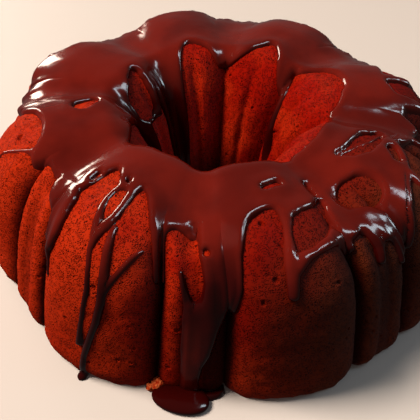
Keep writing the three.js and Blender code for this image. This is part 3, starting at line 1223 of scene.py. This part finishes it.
def lay_glaze():
    bm = cut_glaze()
    azimuth, run = read_sheet(bm)
    distance, width = glaze_distance(azimuth, run)
    round_slope, run_slope = glaze_gradient(azimuth, run, distance)
    rim = np.array([vert.is_boundary for vert in bm.verts])
    on_table = smoothstep(run - WALL_RUN, *TABLE_BLEND)
    below = -EDGE_BELOW * (1 - on_table)
    bead = np.maximum(width, LEAST_BEAD)
    turn = np.clip(distance / bead, 0, 1) * np.pi / 2
    drawn = np.where(distance < bead, bead * (1 - np.cos(turn)), distance)
    drawn = np.where(distance < 0, distance, drawn)
    drawn = np.where(rim, below, drawn)
    azimuth = azimuth + (drawn - distance) * round_slope / sheet_radius(run)
    run = run + (drawn - distance) * run_slope
    dome = np.where(distance > 0, THICKNESS * bead * np.sin(turn), EDGE_SLOPE * distance)
    dome = np.where(rim, np.where(on_table > 0.5, 0, -EDGE_SLOPE * EDGE_BELOW), dome)
    deep = smoothstep(distance, *FILL_REACH)
    thinner = 1 - THINNER * smoothstep(distance, bead, bead + THINNER_REACH)
    plain = table_skin(azimuth, run, np.zeros(len(run)))
    sag = SAG * wave_noise(plain, SAG_SIZE, SAG_SEED) * smoothstep(distance, *SAG_REACH)
    lift = dome * thinner + sag + deep * groove_fill(azimuth, np.minimum(run, WALL_RUN))
    top = table_skin(azimuth, run, lift)
    top[:, 2] = np.maximum(top[:, 2], TABLE_FILM)
    under = table_skin(azimuth, run, np.full(len(run), -INNER_DEPTH))
    mark_share(bm, "lit_film_share", lit_film_share(azimuth, run, top[:, 2]))
    top = ((top + SHIFT) * MM).tolist()
    under = ((under + SHIFT) * MM).tolist()
    mark = bm.verts.layers.int.new("sheet")
    for number, vert in enumerate(bm.verts):
        vert[mark] = number
    made = bmesh.ops.extrude_face_region(bm, geom=bm.faces[:], use_keep_orig=True)
    raised = {item for item in made["geom"] if isinstance(item, bmesh.types.BMVert)}
    for vert in bm.verts:
        vert.co = top[vert[mark]] if vert in raised else under[vert[mark]]
    open_edges = sum(len(edge.link_faces) != 2 for edge in bm.edges)
    print("glaze edges without two faces:", open_edges)
    return finish_piece("glaze", bm, glaze_material)


glaze = lay_glaze()
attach(glaze, "root")

# %% [markdown]
# Where the broad stream reached the table it spread into a thick round pool. Surface tension
# gives such a pool steep, swollen sides and a nearly flat top. It starts as a sphere: the
# upper half is pressed flat, and the lower half is squared off, so that it stands on the
# table with only a small undercut.

# %% Pool
POOL_PLACE = (math.radians(-23.9), 122.3)
POOL_HALF_SIZE = (12.6, 8.4)
POOL_TURN = math.radians(-4)
POOL_WIDEST = 1.5
POOL_HEIGHT = 4.2
POOL_TOP_POWER = 2.4
POOL_FOOT_POWER = 4
POOL_WAVES = ((2, 0.03, 1), (3, 0.02, 0))


def make_pool():
    bm = bmesh.new()
    bmesh.ops.create_uvsphere(bm, u_segments=96, v_segments=56, radius=1)
    unit = np.array([vert.co[:] for vert in bm.verts])
    level = np.clip(unit[:, 2], -1, 1)
    around = np.arctan2(unit[:, 1], unit[:, 0])
    wide = np.where(level > 0, (1 - np.abs(level) ** POOL_TOP_POWER) ** (1 / POOL_TOP_POWER),
                    (1 - level ** POOL_FOOT_POWER) ** (1 / POOL_FOOT_POWER))
    wobble = 1 + sum_of_waves(POOL_WAVES, around)
    across = POOL_HALF_SIZE[0] * wide * wobble * np.cos(around)
    outward = POOL_HALF_SIZE[1] * wide * wobble * np.sin(around)
    height = POOL_WIDEST + np.where(level > 0, POOL_HEIGHT - POOL_WIDEST, POOL_WIDEST) * level
    azimuth, reach = POOL_PLACE
    turn = azimuth + POOL_TURN
    x = reach * math.sin(azimuth) + across * math.cos(turn) + outward * math.sin(turn)
    y = -reach * math.cos(azimuth) + across * math.sin(turn) - outward * math.cos(turn)
    place_points(bm, np.stack((x, y, height), -1))
    return finish_piece("glaze_pool", bm, glaze_material)


pool = make_pool()
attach(pool, "root")

# %% [markdown]
# A scrap of pale crumb broke off at the foot and stuck in the glaze there. It is an
# icosphere pushed in and out by noise, and pressed flat where it sits on the table.

# %% Stuck crumb
SCRAP_PLACES = (("stuck_crumb", -29.4, 116.9, 3.4, 7), ("stuck_scrap", -30.8, 119.6, 1.9, 9))
SCRAP_COLOUR = (0.58, 0.120, 0.035, 1)
SCRAP_LUMPS = ((1, 0.45), (4, 0.12))
SCRAP_SUNK = 0.6


def scrap_finish():
    finish = Finish("pale_crumb")
    patches = finish.noise(900, 2.0).above(0.35, 0.65)
    finish.set(Base_Color=finish.mix(patches, CRUMB_LIGHT, SCRAP_COLOUR), Roughness=0.85)
    finish.set(Normal=finish.bump(finish.noise(1500, 2.0), 0.0005, 0.8))
    finish.set(Specular_IOR_Level=0.04)
    return finish.material


scrap_material = scrap_finish()


def make_scrap(name, degrees, reach, radius, seed):
    bm = bmesh.new()
    bmesh.ops.create_icosphere(bm, subdivisions=4, radius=radius)
    points = np.array([vert.co[:] for vert in bm.verts])
    for share, height in SCRAP_LUMPS:
        points *= 1 + height * wave_noise(points, radius / share, seed)[:, None]
    points[:, 2] = np.maximum(points[:, 2] + radius * SCRAP_SUNK, 0)
    azimuth = math.radians(degrees)
    points += (reach * math.sin(azimuth), -reach * math.cos(azimuth), 0)
    place_points(bm, points)
    return finish_piece(name, bm, scrap_material)


for scrap_values in SCRAP_PLACES:
    scrap = make_scrap(*scrap_values)
    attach(scrap, "root")

# %% [markdown]
# The floor is plain: a matt warm grey that the window lights to off white, with a very faint
# unevenness in its roughness.

# %% Floor finish
def floor_finish():
    finish = Finish("pale_floor")
    shade = finish.noise(3, 1.0) * 0.02 + 0.60
    finish.set(Base_Color=FLOOR_COLOUR, Roughness=shade)
    return finish.material


floor.data.materials.append(floor_finish())
print("floor finish:", floor.data.materials[0].name)
